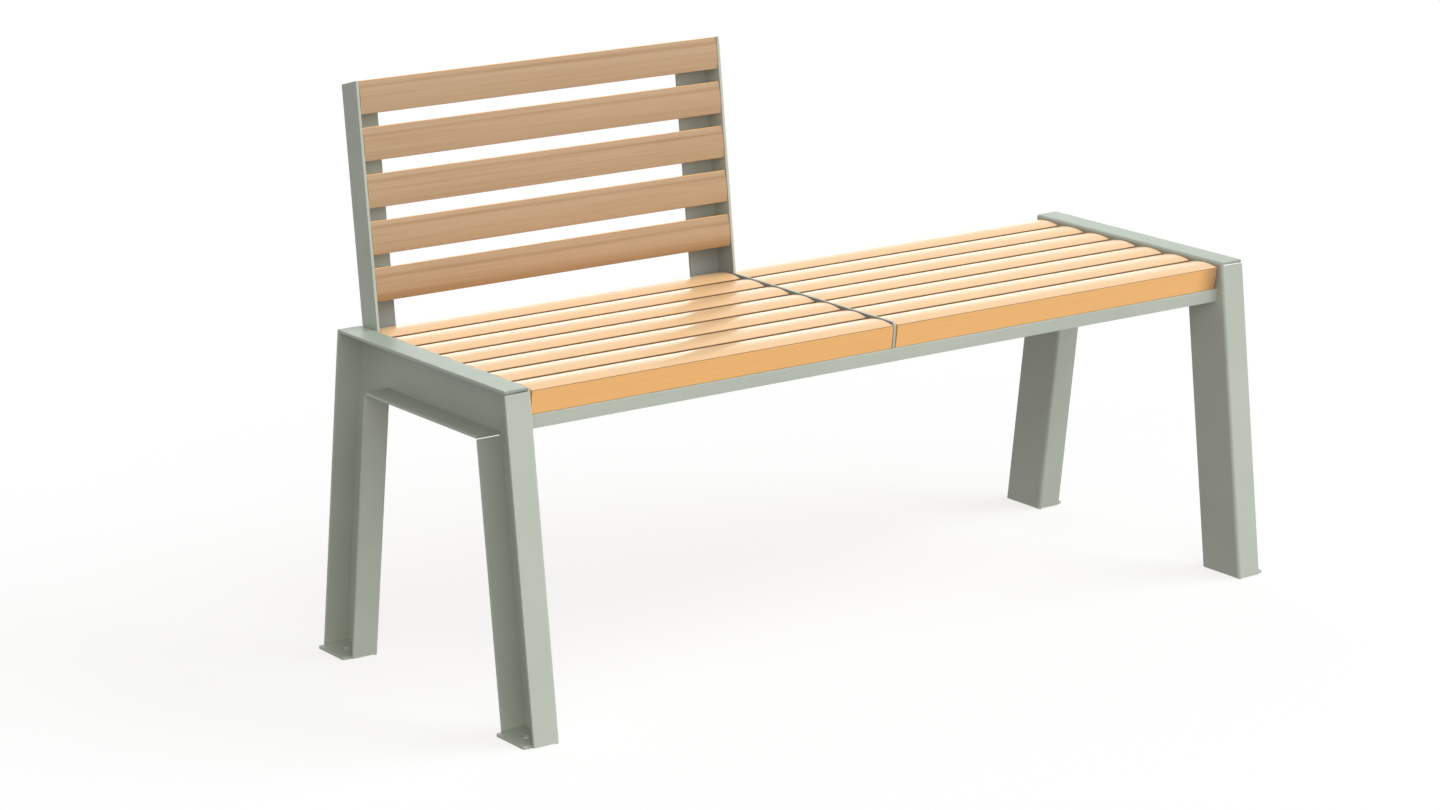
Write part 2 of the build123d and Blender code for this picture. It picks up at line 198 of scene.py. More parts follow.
class Wire:
    """An output in a material's nodes. Arithmetic on it adds Math nodes."""

    def __init__(self, tree, socket=None):
        self.tree = tree
        self.socket = socket

    def node(self, kind, settings=None, inputs=None, output=0):
        """Adds a node, sets it up, feeds its inputs and gives one of its outputs."""
        made = self.tree.nodes.new(kind)
        for name, value in (settings or {}).items():
            setattr(made, name, value)
        for name, value in (inputs or {}).items():
            self.feed(made.inputs[name], value)
        return Wire(self.tree, made.outputs[output])

    def feed(self, socket, value):
        """Links a wire to a socket, or sets the socket to a plain value."""
        if isinstance(value, Wire):
            self.tree.links.new(value.socket, socket)
        elif socket.type == "RGBA" and len(value) == 3:
            socket.default_value = (*value, 1)
        else:
            socket.default_value = value

    def maths(self, operation, *values):
        """One Math node on plain values and wires."""
        return self.node("ShaderNodeMath", {"operation": operation}, dict(enumerate(values)))

    def __add__(self, other):
        return self.maths("ADD", self, other)

    def __radd__(self, other):
        return self.maths("ADD", other, self)

    def __sub__(self, other):
        return self.maths("SUBTRACT", self, other)

    def __rsub__(self, other):
        return self.maths("SUBTRACT", other, self)

    def __mul__(self, other):
        return self.maths("MULTIPLY", self, other)

    def __rmul__(self, other):
        return self.maths("MULTIPLY", other, self)

    def __truediv__(self, other):
        return self.maths("DIVIDE", self, other)

    def __rtruediv__(self, other):
        return self.maths("DIVIDE", other, self)

    def __pow__(self, other):
        return self.maths("POWER", self, other)

    def __abs__(self):
        return self.maths("ABSOLUTE", self)

    def __gt__(self, other):
        return self.maths("GREATER_THAN", self, other)

    def floor(self):
        """The whole number below."""
        return self.maths("FLOOR", self)

    def share(self):
        """What is left above the whole number below."""
        return self.maths("FRACT", self)

    def ease(self, start, end):
        """Rises smoothly from 0 at start to 1 at end."""
        limits = {"Value": self, "From Min": start, "From Max": end}
        return self.node("ShaderNodeMapRange", {"interpolation_type": "SMOOTHSTEP"}, limits)

    def between(self, low, high):
        """A number between two, by this share of the second."""
        return low + (high - low) * self

    def blend(self, first, second):
        """A colour between two, by this share of the second."""
        inputs = {MIX_SHARE: self, MIX_FIRST: first, MIX_SECOND: second}
        return self.node("ShaderNodeMix", {"data_type": "RGBA"}, inputs, MIX_RESULT)

    def part(self, direction):
        """How far a place lies along a direction."""
        inputs = {0: self, 1: tuple(direction)}
        return self.node("ShaderNodeVectorMath", {"operation": "DOT_PRODUCT"}, inputs, "Value")

    def clouds(self, scale, detail=2.0, stretch=(1, 1, 1)):
        """Soft noise around a half, finer with scale, which is per metre."""
        place = self.node("ShaderNodeVectorMath", {"operation": "MULTIPLY"}, {0: self, 1: stretch})
        inputs = {"Vector": place, "Scale": scale, "Detail": detail}
        return self.node("ShaderNodeTexNoise", None, inputs, "Fac")


def new_finish(name, constants):
    """A new material with plain values on its shader, then that shader and a place on the bench."""
    finish = bpy.data.materials.new(name)
    finish.use_nodes = True
    shader = finish.node_tree.nodes["Principled BSDF"]
    for socket, value in constants.items():
        shader.inputs[socket].default_value = value
    place = Wire(finish.node_tree).node("ShaderNodeTexCoord", output="Object")
    return finish, shader, place


def finish_named(name, maker):
    """The material of that name, made when it is first asked for."""
    return bpy.data.materials.get(name) or maker()


def facing(place, direction):
    """How far a surface faces a direction, from 1 where it does to -1 where it faces away."""
    return place.node("ShaderNodeTexCoord", output="Normal").part(direction)


def raise_surface(shader, height, strength, depth):
    """Gives a shader small relief from a height."""
    inputs = {"Height": height, "Strength": strength, "Distance": depth}
    height.feed(shader.inputs["Normal"], height.node("ShaderNodeBump", None, inputs, "Normal"))


# How far a surface faces a direction where its painted shade, sheen or highlight starts, and where it is
# full
FRAME_TOP_PAINTED_SHADE = (0.8, 0.95)
UPRIGHT_REAR = (0.2, 0.5)
SLAT_PAINTED_SHEEN = (0.8, 0.95)
SLAT_SIDE = (0.35, 0.6)
SLAT_ARRIS = (0.2, 0.4)
SLAT_UPPER_SIDE = (0.3, 0.7)

# The painted shade low inside the uprights goes past the back slats' ends, and fades at their lower edge
FOOT_MARGIN = 1 * MILLIMETRE
FOOT_FADE = 6 * MILLIMETRE

# How bright a scuff is beside the bare steel
SCUFFED = 0.8


def upright_painted_shade(place):
    """1 where shade is painted on the insides of the uprights, between the seat and the lowest back slat,
    and otherwise 0.
    """
    left, right = reach("back_slat_1", ALONG)
    half_clear = (right - left) / 2 + FOOT_MARGIN
    inside = 1 - (abs(place.part(ALONG) - (left + right) / 2) > half_clear)
    seat_edge = reach("seat_slat_left_1", UPWARDS)[1] - 2 * bpy.context.scene.bench_timber.seat_crown
    above_seat = place.part(UPWARDS) > seat_edge
    under_back = 1 - (place.part(BACK_UP) - reach("back_slat_1", BACK_UP)[0]).ease(0, FOOT_FADE)
    facing_rear = facing(place, -BACK_FRONT).ease(*UPRIGHT_REAR)
    return inside * above_seat * under_back * (1 - facing_rear)


def coated_steel():
    """Satin powder coat with faint clouds and the fine orange peel of baked powder, and painted shade on
    top of the end frames and low inside the uprights.
    """
    steel = bpy.context.scene.bench_steel
    finish, shader, place = new_finish("powder_coat", {"IOR": 1.5})
    frame_top = reach("left_end_frame", UPWARDS)[1]
    # The top of the end frames gets painted shade
    painted_shade_on_top = facing(place, UPWARDS).ease(*FRAME_TOP_PAINTED_SHADE) * (place.part(UPWARDS) > frame_top - steel.sheet)
    coat = place.clouds(scale=9, detail=3).ease(start=0.35, end=0.65).blend(steel.coat, steel.coat_shade)
    coat = painted_shade_on_top.blend(coat, steel.coat_painted_shade_top)
    # The insides of the uprights get painted shade low down
    coat = upright_painted_shade(place).blend(coat, steel.coat_painted_shade_foot)
    place.feed(shader.inputs["Base Color"], coat)
    place.feed(shader.inputs["Roughness"], place.clouds(scale=60).between(low=0.4, high=0.5))
    raise_surface(shader, place.clouds(scale=700, detail=1), strength=0.06, depth=0.2 * MILLIMETRE)
    return finish


def bare_steel():
    """Stainless screws, turned and a little scuffed."""
    bare = bpy.context.scene.bench_steel.bare
    finish, shader, place = new_finish("stainless_steel", {"Metallic": 1.0})
    scuff = place.clouds(scale=1800).ease(start=0.4, end=0.7)
    place.feed(shader.inputs["Base Color"], scuff.blend(bare, tuple(SCUFFED * level for level in bare)))
    place.feed(shader.inputs["Roughness"], scuff.between(low=0.25, high=0.4))
    raise_surface(shader, scuff, strength=0.05, depth=0.05 * MILLIMETRE)
    return finish


# Growth rings, and the pith that they lie around, to a side of a slat's middle and below the slat
RING_GAP = 3.5 * MILLIMETRE
RING_CONTRAST = 2.5
PITH_ASIDE = 25 * MILLIMETRE
PITH_DEPTH = (-50 * MILLIMETRE, -80 * MILLIMETRE)
SWAY = 6 * MILLIMETRE

# Each slat's grain comes from another place along one long grain, by its row and its half
SLAT_SHIFT = 1.7
RIGHT_HALF_TAG = 20
FIBRE_STRETCH = (0.012, 1, 1)
GRAIN_STRETCH = (0.06, 1, 1)

# How much each pattern darkens the timber; on the back slats the patterns lower and bottom are painted
# shade
SEAT_GRAIN = {"rings": 0.12, "fibres": 0.12, "chance": 0.1}
BACK_GRAIN_AND_PAINTED_SHADE = {
    "rings": 0.1, "fibres": 0.15, "lines": 0.2, "streak": 0.45, "chance": 0.06,
    "lower": 0.15, "bottom": 0.6,
}

# How much of the grain the seat's painted sheen on top shows, and how deep the painted shade along its
# arrises and at its right corner is
PAINTED_SHEEN_GRAIN = 0.5
ARRIS_PAINTED_SHADE = 0.9
CORNER_PAINTED_SHADE = 0.65

# Reach of the painted shade from the seat's right end, up the backrest and up its lowest slat, and of the
# painted highlight behind a back slat's face
CORNER_SHADE = 45 * MILLIMETRE
LOWER_SHADE = (0.1, 0.6)
BOTTOM_SHADE = (2 * MILLIMETRE, 18 * MILLIMETRE)
PAINTED_HIGHLIGHT_DEPTH = (5 * MILLIMETRE, 9 * MILLIMETRE)

# The streak of a back slat, as a share of its width above its middle, and how far it spreads
STREAK_PLACE = 0.23
STREAK_SPREAD = 3.5 * MILLIMETRE


def slat_rows(family, rows, across):
    """Where a family of slats starts along a direction, and its step."""
    first_place = middle(f"{family}_1").dot(across)
    pitch = (middle(f"{family}_{rows}").dot(across) - first_place) / (rows - 1)
    return first_place - pitch / 2, pitch


def slat_place(place, across, first, pitch):
    """The number of the row that a place lies in, and how far it lies from the row's middle."""
    row = ((place.part(across) - first) / pitch).floor()
    return row, place.part(across) - (first + (row + 0.5) * pitch)


def timber_grain(place, across, row, aside):
    """Growth rings, fibres and a chance for each slat, for slats that lie across a direction."""
    out = ALONG.cross(across)
    tag = row + RIGHT_HALF_TAG * (place.part(ALONG) > 0)
    chance = place.node("ShaderNodeTexWhiteNoise", {"noise_dimensions": "1D"}, {"W": tag}, "Value")
    shift = place.node("ShaderNodeCombineXYZ", None, {"X": SLAT_SHIFT * tag})
    shifted = place.node("ShaderNodeVectorMath", {"operation": "ADD"}, {0: place, 1: shift})
    from_pith = aside - chance.between(-PITH_ASIDE, PITH_ASIDE)
    above_pith = place.part(out) - reach("seat_slat_left_1", out)[0] - chance.between(*PITH_DEPTH)
    sway = shifted.clouds(scale=14, stretch=GRAIN_STRETCH).between(-SWAY, SWAY)
    radius = (from_pith * from_pith + above_pith * above_pith) ** 0.5 + sway
    return {
        "rings": (radius / RING_GAP).share() ** RING_CONTRAST,
        "fibres": shifted.clouds(scale=900, stretch=FIBRE_STRETCH).ease(start=0.3, end=0.7),
        "chance": chance,
    }


def weigh(patterns, weights):
    """The patterns of a timber, added up by their weights."""
    return sum(weight * patterns[name] for name, weight in weights.items())


def seat_timber():
    """Honey-coloured oiled timber under a thin clear coat, paler on top by a painted sheen, with painted
    shade in the gaps, along the arrises and at the right end.
    """
    timber = bpy.context.scene.bench_timber
    gloss = {"IOR": 1.5, "Coat Weight": 0.3, "Coat Roughness": 0.18, "Coat IOR": 1.5}
    finish, shader, place = new_finish("honey_timber", gloss)
    row, aside = slat_place(place, REARWARDS, *slat_rows("seat_slat_left", SEAT_ROWS, REARWARDS))
    patterns = timber_grain(place, REARWARDS, row, aside)
    grain = weigh(patterns, SEAT_GRAIN)
    facing_up = facing(place, UPWARDS)
    facing_across = abs(facing(place, REARWARDS))
    honey = grain.blend(timber.honey, timber.honey_dark)
    # Painted sheen: the tops of the slats are paler, with the light on them painted in
    honey_painted_sheen = (PAINTED_SHEEN_GRAIN * grain).blend(timber.honey_painted_sheen, timber.honey)
    oiled = facing_up.ease(*SLAT_PAINTED_SHEEN).blend(honey, honey_painted_sheen)
    side = facing_across.ease(*SLAT_SIDE)
    # Painted shade in the gaps between the slats, along their arrises and at the seat's right end
    gap_painted_shade = side * (1 - (abs(place.part(REARWARDS)) > abs(middle("seat_slat_left_1").y)))
    arris = ARRIS_PAINTED_SHADE * facing_across.ease(*SLAT_ARRIS) * facing_up.ease(*SLAT_ARRIS)
    from_right = reach("front_rail", ALONG)[1] - place.part(ALONG)
    corner = CORNER_PAINTED_SHADE * side * (1 - from_right.ease(0, CORNER_SHADE))
    seat_painted_shade = place.maths("MAXIMUM", place.maths("MAXIMUM", gap_painted_shade, arris), corner)
    place.feed(shader.inputs["Base Color"], seat_painted_shade.blend(oiled, timber.honey_painted_shade))
    place.feed(shader.inputs["Roughness"], patterns["fibres"].between(low=0.46, high=0.54))
    raise_surface(shader, patterns["fibres"] + patterns["rings"], strength=0.01, depth=0.05 * MILLIMETRE)
    return finish


def back_timber():
    """Tan timber with a fine level grain and a darker streak along each slat, painted shade low on the
    backrest and along the lowest slat's bottom, and a painted highlight in honey on the upper sides.
    """
    timber = bpy.context.scene.bench_timber
    finish, shader, place = new_finish("tan_timber", {"IOR": 1.5})
    first, pitch = slat_rows("back_slat", BACK_ROWS, BACK_UP)
    row, aside = slat_place(place, BACK_UP, first, pitch)
    height = place.part(BACK_UP)
    patterns = timber_grain(place, BACK_UP, row, aside)
    wander = place.clouds(scale=10, detail=1, stretch=GRAIN_STRETCH).between(-SWAY, SWAY)
    from_streak = abs(aside + wander - STREAK_PLACE * timber.back_width)
    patterns["lines"] = place.clouds(scale=260, stretch=FIBRE_STRETCH).ease(start=0.45, end=0.7)
    patterns["streak"] = 1 - from_streak.ease(0, STREAK_SPREAD)
    # Painted shade, deeper low on the backrest and along the bottom of the lowest slat
    patterns["lower"] = 1 - ((height - first) / (BACK_ROWS * pitch)).ease(*LOWER_SHADE)
    patterns["bottom"] = 1 - (height - reach("back_slat_1", BACK_UP)[0]).ease(*BOTTOM_SHADE)
    tan_face = weigh(patterns, BACK_GRAIN_AND_PAINTED_SHADE).blend(timber.tan, timber.tan_dark)
    # Painted highlight: honey on the upper sides near the face, turning back to tan deeper in
    depth = reach("back_slat_1", BACK_FRONT)[1] - place.part(BACK_FRONT)
    painted_highlight_side = depth.ease(*PAINTED_HIGHLIGHT_DEPTH).blend(timber.honey, timber.tan)
    upper_side = facing(place, BACK_UP).ease(*SLAT_UPPER_SIDE)
    place.feed(shader.inputs["Base Color"], upper_side.blend(tan_face, painted_highlight_side))
    place.feed(shader.inputs["Roughness"], patterns["fibres"].between(low=0.32, high=0.4))
    raise_surface(shader, patterns["fibres"] + patterns["rings"], strength=0.05, depth=0.1 * MILLIMETRE)
    return finish


# Mesh tools
CROWN_STEPS = 12
ROUND_STEPS = 6
ARRIS_STEPS = 2
CIRCLE_STEPS = 24
SOCKET_FLATS = 6


def flat_face(shape, points):
    """A flat face in the XY plane through a few points."""
    return shape.faces.new([shape.verts.new((x, y, 0)) for x, y in points])


def round_corner(shape, corner, radius):
    """Rounds one corner of a flat face."""
    sides = [edge.other_vert(corner).co - corner.co for edge in corner.link_edges]
    half_angle = sides[0].angle(sides[1]) / 2
    bmesh.ops.bevel(
        shape, geom=[corner], offset=radius / tan(half_angle), offset_type="ABSOLUTE",
        affect="VERTICES", segments=ROUND_STEPS, profile=0.5, material=-1,
    )


def draw_out(shape, length):
    """Extrudes a flat face along Z into a closed solid."""
    grown = bmesh.ops.extrude_face_region(shape, geom=shape.faces[:])["geom"]
    bmesh.ops.translate(shape, verts=parts_of(bmesh.types.BMVert, grown), vec=(0, 0, length))
    bmesh.ops.recalc_face_normals(shape, faces=shape.faces[:])


def prism(points, length, rounded):
    """A solid drawn out along Z from an outline, with roundings by the numbers of their corners."""
    shape = bmesh.new()
    corners = flat_face(shape, points).verts[:]
    for number, radius in rounded.items():
        round_corner(shape, corners[number], radius)
    draw_out(shape, length)
    return shape


def soften(shape, edges, radius, steps=ARRIS_STEPS):
    """Rounds edges over a radius."""
    bmesh.ops.bevel(
        shape, geom=edges, offset=radius, offset_type="OFFSET",
        affect="EDGES", segments=steps, profile=0.5, material=-1,
    )


def soften_arrises(shape):
    """Takes the sharpness off all cut edges of a steel piece."""
    sharp = [edge for edge in shape.edges if edge.calc_face_angle(0) > SHARP_ANGLE]
    soften(shape, sharp, bpy.context.scene.bench_steel.arris)


def parts_of(kind, parts):
    """The vertices, edges or faces among mixed parts of a shape."""
    return [part for part in parts if isinstance(part, kind)]


def trim(shape, place, outwards):
    """Cuts away what lies beyond a plane, and closes the cut."""
    everything = shape.verts[:] + shape.edges[:] + shape.faces[:]
    cut = bmesh.ops.bisect_plane(
        shape, geom=everything, plane_co=place, plane_no=outwards, clear_outer=True
    )
    bmesh.ops.holes_fill(shape, edges=parts_of(bmesh.types.BMEdge, cut["geom_cut"]))


def put(shape, verts, across, out, along, origin):
    """Takes vertices from X, Y and Z to three directions from an origin."""
    matrix = Matrix.Translation(origin) @ Matrix((across, out, along)).transposed().to_4x4()
    bmesh.ops.transform(shape, matrix=matrix, verts=verts)


def settle(shape, name, finish, node):
    """Makes a finished shape a piece of the bench that stands for a CAD node."""
    bmesh.ops.remove_doubles(shape, verts=shape.verts[:], dist=MERGE_DISTANCE)
    bmesh.ops.recalc_face_normals(shape, faces=shape.faces[:])
    for face in shape.faces:
        face.smooth = True
    for edge in shape.edges:
        edge.smooth = edge.calc_face_angle(0) < SHARP_ANGLE
    mesh = bpy.data.meshes.new(name)
    shape.to_mesh(mesh)
    shape.free()
    mesh.materials.append(finish)
    piece = bpy.data.objects.new(name, mesh)
    bpy.context.scene.collection.objects.link(piece)
    piece.modifiers.new("even_shading", "WEIGHTED_NORMAL").keep_sharp = True
    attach(piece, "root")
    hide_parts(node)
    return piece


def coat_node(node, finish):
    """Gives a CAD node that is shown as it is a finish."""
    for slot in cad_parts[node].material_slots:
        slot.material = finish


# Pieces
def make_slat(node, name, across, width, crown, finish):
    """One crowned slat in the place of its CAD node."""
    timber = bpy.context.scene.bench_timber
    out = ALONG.cross(across)
    low_end, high_end = reach(node, ALONG)
    rear, front = reach(node, out)
    height = front - rear - crown
    half_face = width / 2
    half_rear = half_face - height * tan(timber.draft)
    radius = (half_face**2 + crown**2) / (2 * crown)
    half_turn = asin(half_face / radius)
    turns = [half_turn * (1 - 2 * step / CROWN_STEPS) for step in range(CROWN_STEPS + 1)]
    face_line = [(radius * sin(turn), height + crown - radius * (1 - cos(turn))) for turn in turns]
    rounded = {0: timber.rear_edge, 1: timber.rear_edge, 2: timber.face_edge, -1: timber.face_edge}
    shape = prism([(-half_rear, 0), (half_rear, 0)] + face_line, high_end - low_end, rounded)
    spans = {edge: edge.verts[0].co.z - edge.verts[1].co.z for edge in shape.edges}
    end_edges = [edge for edge, span in spans.items() if abs(span) < MERGE_DISTANCE]
    soften(shape, end_edges, timber.end_edge)
    origin = low_end * ALONG + sum(reach(node, across)) / 2 * across + rear * out
    put(shape, shape.verts[:], across, out, ALONG, origin)
    return settle(shape, name, finish, node)


class BENCH_OT_seat_slats(bpy.types.Operator):
    """Make the crowned slats of both halves of the seat"""

    bl_idname = "bench.seat_slats"
    bl_label = "Seat Slats"

    def execute(self, context):
        width = context.scene.bench_timber.seat_width
        crown = context.scene.bench_timber.seat_crown
        finish = finish_named("honey_timber", seat_timber)
        for half in SEAT_HALVES:
            for row in range(1, SEAT_ROWS + 1):
                place = f"{half}_{row}"
                make_slat(f"seat_slat_{place}", f"seat_board_{place}", REARWARDS, width, crown, finish)
        return {"FINISHED"}


class BENCH_OT_back_slats(bpy.types.Operator):
    """Make the slats of the backrest"""

    bl_idname = "bench.back_slats"
    bl_label = "Back Slats"

    def execute(self, context):
        width = context.scene.bench_timber.back_width
        crown = context.scene.bench_timber.back_crown
        finish = finish_named("tan_timber", back_timber)
        for row in range(1, BACK_ROWS + 1):
            board = make_slat(f"back_slat_{row}", f"back_board_{row}", BACK_UP, width, crown, finish)
            board.visible_glossy = False
        return {"FINISHED"}


def clip(shape, faces, place, outwards):
    """Cuts away the parts of some faces that lie beyond a plane, and gives the parts that stay."""
    around = {part for face in faces for part in (*face.verts, *face.edges)}
    cut = bmesh.ops.bisect_plane(shape, geom=[*faces, *around], plane_co=place, plane_no=outwards)
    pieces = parts_of(bmesh.types.BMFace, cut["geom"])
    beyond = [face for face in pieces if (face.calc_center_median() - Vector(place)).dot(outwards) > 0]
    stay = [face for face in pieces if face not in beyond]
    bmesh.ops.delete(shape, geom=beyond, context="FACES")
    return stay


def make_foot_tab(shape, tab, tip):
    """Draws a flat foot out to its tip, rounds its corners and opens its anchor hole."""
    steel = bpy.context.scene.bench_steel
    edge_z = max(vert.co.z for vert in tab.verts)
    corners = [vert for vert in tab.verts if vert.co.z > edge_z - MERGE_DISTANCE]
    for corner in corners:
        corner.co.z = tip
    centre = Vector((tab.calc_center_median().x, 0, tip - steel.anchor_setback))
    for corner in corners:
        round_corner(shape, corner, steel.foot_corner)
    circle = bmesh.ops.create_circle(
        shape, radius=steel.anchor_hole / 2, segments=CIRCLE_STEPS,
        matrix=Matrix.Translation(centre) @ Matrix.Rotation(pi / 2, 4, "X"),
    )["verts"]
    hole = {edge for vert in circle for edge in vert.link_edges}
    tab = min(shape.faces, key=lambda face: (face.calc_center_bounds() - centre).length)
    rim = tab.edges[:]
    bmesh.ops.delete(shape, geom=[tab], context="FACES_ONLY")
    bmesh.ops.triangle_fill(shape, use_beauty=True, use_dissolve=True, edges=[*rim, *hole])


# Flanges whose normals rise less than this belong to a leg
LEG_RISE = 0.5


def make_end_frame(node, name, side, finish):
    """One end frame folded from sheet, its flanges to a side of its web, in the place of its CAD node.

    It is drawn as a skin with depth along X, height along Y and the flanges along Z, and then thickened.
    """
    steel = bpy.context.scene.bench_steel
    low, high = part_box(node)
    web_x, tip_x = sorted((abs(low.x), abs(high.x)))
    height = high.z
    beam_under = height - steel.beam_depth
    leg_run = steel.leg_width / cos(steel.leg_lean)
    tab_half = leg_run / 2 - steel.sheet / cos(steel.leg_lean) - steel.foot_gap

    def outside(z):
        return high.y - z * tan(steel.leg_lean)

    rear_half = [
        (outside(beam_under) - leg_run, beam_under), (outside(0) - leg_run, 0), (outside(0), 0),
        (outside(height), height),
    ]
    shape = bmesh.new()
    folds = flat_face(shape, rear_half + [(-y, z) for y, z in reversed(rear_half)]).edges[:]
    grown = bmesh.ops.extrude_edge_only(shape, edges=folds)["geom"]
    bmesh.ops.translate(shape, verts=parts_of(bmesh.types.BMVert, grown), vec=(0, 0, steel.flange))
    soften(shape, folds, steel.frame_fold, ROUND_STEPS)
    shape.normal_update()
    edge_z = steel.flange - MERGE_DISTANCE
    flats = [face for face in shape.faces if max(vert.co.z for vert in face.verts) > edge_z]
    feet = [face for face in flats if face.calc_center_median().y < MERGE_DISTANCE]
    legs = [face for face in flats if abs(face.normal.y) < LEG_RISE]
    legs = clip(shape, legs, (0, steel.foot_lift, 0), -REARWARDS)
    leg_middle = outside(height / 2) - leg_run / 2
    inner = [face for face in legs if abs(face.calc_center_median().x) < leg_middle]
    front = [face for face in legs if face not in inner and face.calc_center_median().x < 0]
    clip(shape, inner, (0, beam_under - steel.beam_slit, 0), REARWARDS)
    clip(shape, front, (0, height - steel.sheet - steel.top_slit, 0), REARWARDS)
    for foot in feet:
        middle_x = foot.calc_center_median().x
        tab = clip(shape, [foot], (middle_x + tab_half, 0, 0), ALONG)
        tab = clip(shape, tab, (middle_x - tab_half, 0, 0), -ALONG)
        make_foot_tab(shape, tab[0], tip_x - web_x)
    front_corner = Vector((-outside(height), height, steel.flange))
    corner = min(shape.verts, key=lambda vert: (vert.co - front_corner).length)
    round_corner(shape, corner, steel.flange_corner)
    bmesh.ops.recalc_face_normals(shape, faces=shape.faces[:])
    bmesh.ops.solidify(shape, geom=shape.faces[:], thickness=steel.sheet)
    put(shape, shape.verts[:], REARWARDS, UPWARDS, side * ALONG, side * web_x * ALONG)
    soften_arrises(shape)
    # Softening moves some corners a little outwards, so all are kept inside the node's box
    for vert in shape.verts:
        vert.co = [min(max(place, start), end) for place, start, end in zip(vert.co, low, high)]
    settle(shape, name, finish, node)


def make_rail(node, name, finish):
    """One channel, open below, in the place of its CAD node."""
    steel = bpy.context.scene.bench_steel
    left, right = reach(node, ALONG)
    front, rear = reach(node, REARWARDS)
    low, high = reach(node, UPWARDS)
    depth, height, wall = rear - front, high - low, steel.sheet
    section = [
        (0, 0), (wall, 0), (wall, height - wall), (depth - wall, height - wall),
        (depth - wall, 0), (depth, 0), (depth, height), (0, height),
    ]
    shape = prism(section, right - left, {6: steel.rail_corner, 7: steel.rail_corner})
    put(shape, shape.verts[:], REARWARDS, UPWARDS, ALONG, Vector((left, front, low)))
    soften_arrises(shape)
    settle(shape, name, finish, node)


def make_bearer(node, name, side, finish):
    """One angle with its flat leg to a side of its upright leg, in the place of its CAD node."""
    steel = bpy.context.scene.bench_steel
    left, right = reach(node, ALONG)
    front, rear = reach(node, REARWARDS)
    low, high = reach(node, UPWARDS)
    width, height, wall = right - left, high - low, steel.sheet
    section = [
        (0, 0), (wall, 0), (wall, height - wall), (width, height - wall), (width, height), (0, height),
    ]
    shape = prism(section, rear - front, {5: steel.rail_corner})
    origin = Vector((left if side > 0 else right, front, low))
    put(shape, shape.verts[:], side * ALONG, UPWARDS, REARWARDS, origin)
    soften_arrises(shape)
    settle(shape, name, finish, node)


def make_divider(node, name, finish):
    """The plate between the two halves of the seat, notched over the front rail."""
    steel = bpy.context.scene.bench_steel
    left, right = reach(node, ALONG)
    front = reach(node, REARWARDS)[0]
    top = reach(node, UPWARDS)[1]
    rail_low, rail_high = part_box("front_rail")
    rear_rail_front = reach("rear_rail", REARWARDS)[0]
    back_front = reach("right_back_upright", BACK_FRONT)[1]
    upright_y = [(back_front - z * BACK_FRONT.z) / BACK_FRONT.y for z in (top, rail_high.z)]
    outline = [
        (rail_high.y, rail_low.z), (rail_high.y, rail_high.z), (rail_low.y, rail_high.z), (front, top),
        (upright_y[0], top), (upright_y[1], rail_high.z),
        (rear_rail_front, rail_high.z), (rear_rail_front, rail_low.z),
    ]
    shape = prism(outline, right - left, {3: steel.divider_corner})
    put(shape, shape.verts[:], REARWARDS, UPWARDS, ALONG, left * ALONG)
    soften_arrises(shape)
    settle(shape, name, finish, node)


def make_upright(node, name, side, finish):
    """One upright with its rear flange to a side of its plate, in the place of its CAD node."""
    steel = bpy.context.scene.bench_steel
    draft = bpy.context.scene.bench_timber.draft
    left, right = reach(node, ALONG)
    rear, front = reach(node, BACK_FRONT)
    low, high = reach(node, BACK_UP)
    width, depth, wall = right - left, front - rear, steel.sheet
    section = [(0, 0), (width, 0), (width, wall), (wall, wall), (wall, depth), (0, depth)]
    shape = prism(section, high - low, {0: steel.upright_fold, 3: steel.upright_fold - wall})
    origin = (left if side > 0 else right) * ALONG + rear * BACK_FRONT + low * BACK_UP
    put(shape, shape.verts[:], side * ALONG, BACK_FRONT, BACK_UP, origin)
    slope = cos(draft) * BACK_UP - sin(draft) * BACK_FRONT
    top = reach(node, slope)[1]
    trim(shape, top * slope, slope)
    trim(shape, reach(node, UPWARDS)[0] * UPWARDS, -UPWARDS)
    at_top = {vert for vert in shape.verts if vert.co.dot(slope) > top - MERGE_DISTANCE}
    at_corner = {vert for vert in at_top if vert.co.dot(BACK_FRONT) > front - MERGE_DISTANCE}
    corner_edges = [edge for edge in shape.edges if at_corner.issuperset(edge.verts)]
    soften(shape, corner_edges, steel.upright_corner, ROUND_STEPS)
    soften_arrises(shape)
    settle(shape, name, finish, node)


def screw_head():
    """One round screw head on the XY plane, with a hexagon socket in its top."""
    steel = bpy.context.scene.bench_steel
    shape = bmesh.new()
    bmesh.ops.create_circle(shape, cap_ends=True, radius=steel.screw_head / 2, segments=CIRCLE_STEPS)
    draw_out(shape, steel.screw_rise)
    top_z = steel.screw_rise - MERGE_DISTANCE
    rim = [edge for edge in shape.edges if min(vert.co.z for vert in edge.verts) > top_z]
    soften(shape, rim, steel.screw_edge, ROUND_STEPS)
    top = max(shape.faces, key=lambda face: face.calc_center_median().z)
    bmesh.ops.inset_region(shape, faces=[top], thickness=steel.screw_head / 4, use_even_offset=True)
    half_flat = pi / SOCKET_FLATS
    for vert in top.verts:
        turn = Vector((1, 0)).angle_signed(vert.co.xy, 0) % (2 * half_flat) - half_flat
        vert.co.xy = vert.co.xy.normalized() * steel.screw_socket / 2 / cos(turn)
    well = bmesh.ops.extrude_face_region(shape, geom=[top])["geom"]
    bmesh.ops.delete(shape, geom=[top], context="FACES")
    down = Vector((0, 0, -steel.socket_depth))
    bmesh.ops.translate(shape, verts=parts_of(bmesh.types.BMVert, well), vec=down)
    mesh = bpy.data.meshes.new("screw_head")
    shape.to_mesh(mesh)
    shape.free()
    return mesh


